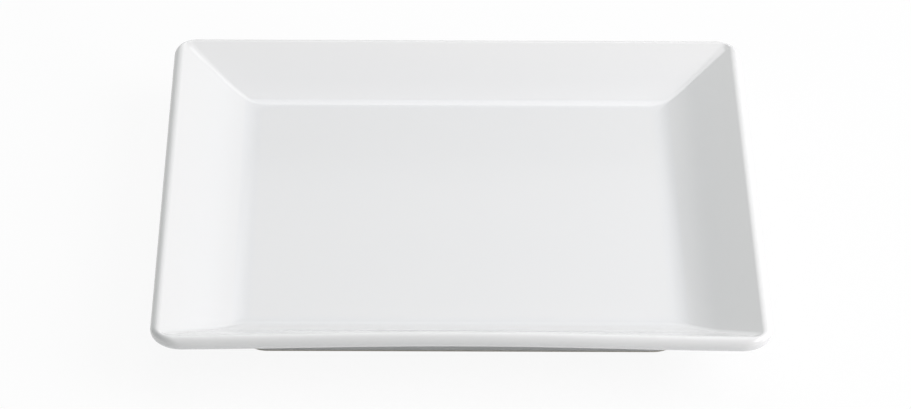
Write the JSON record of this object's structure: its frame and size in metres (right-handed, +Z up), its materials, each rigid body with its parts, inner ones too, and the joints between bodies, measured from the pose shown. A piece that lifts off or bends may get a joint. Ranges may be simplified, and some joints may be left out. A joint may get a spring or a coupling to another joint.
{
  "type": "square plate",
  "caption": "Square white glazed porcelain plate with a flat floor that sweeps up into four straight walls, a rounded lip and a bare foot ring, for serving food.",
  "frame": {"origin": "on the table, under the middle of the plate", "axes": "+Z up out of the well; -Y towards the viewer, the side whose lip firing has raised a little; +X to the right"},
  "size_m": [0.2, 0.2, 0.0245],
  "materials": {
    "glaze": "gloss",
    "bare_porcelain": "matte"
  },
  "bodies": {
    "root": {"porcelain_body": "bare_porcelain", "glaze_coat": "glaze", "recess_glaze": "glaze"}
  },
  "joints": []
}
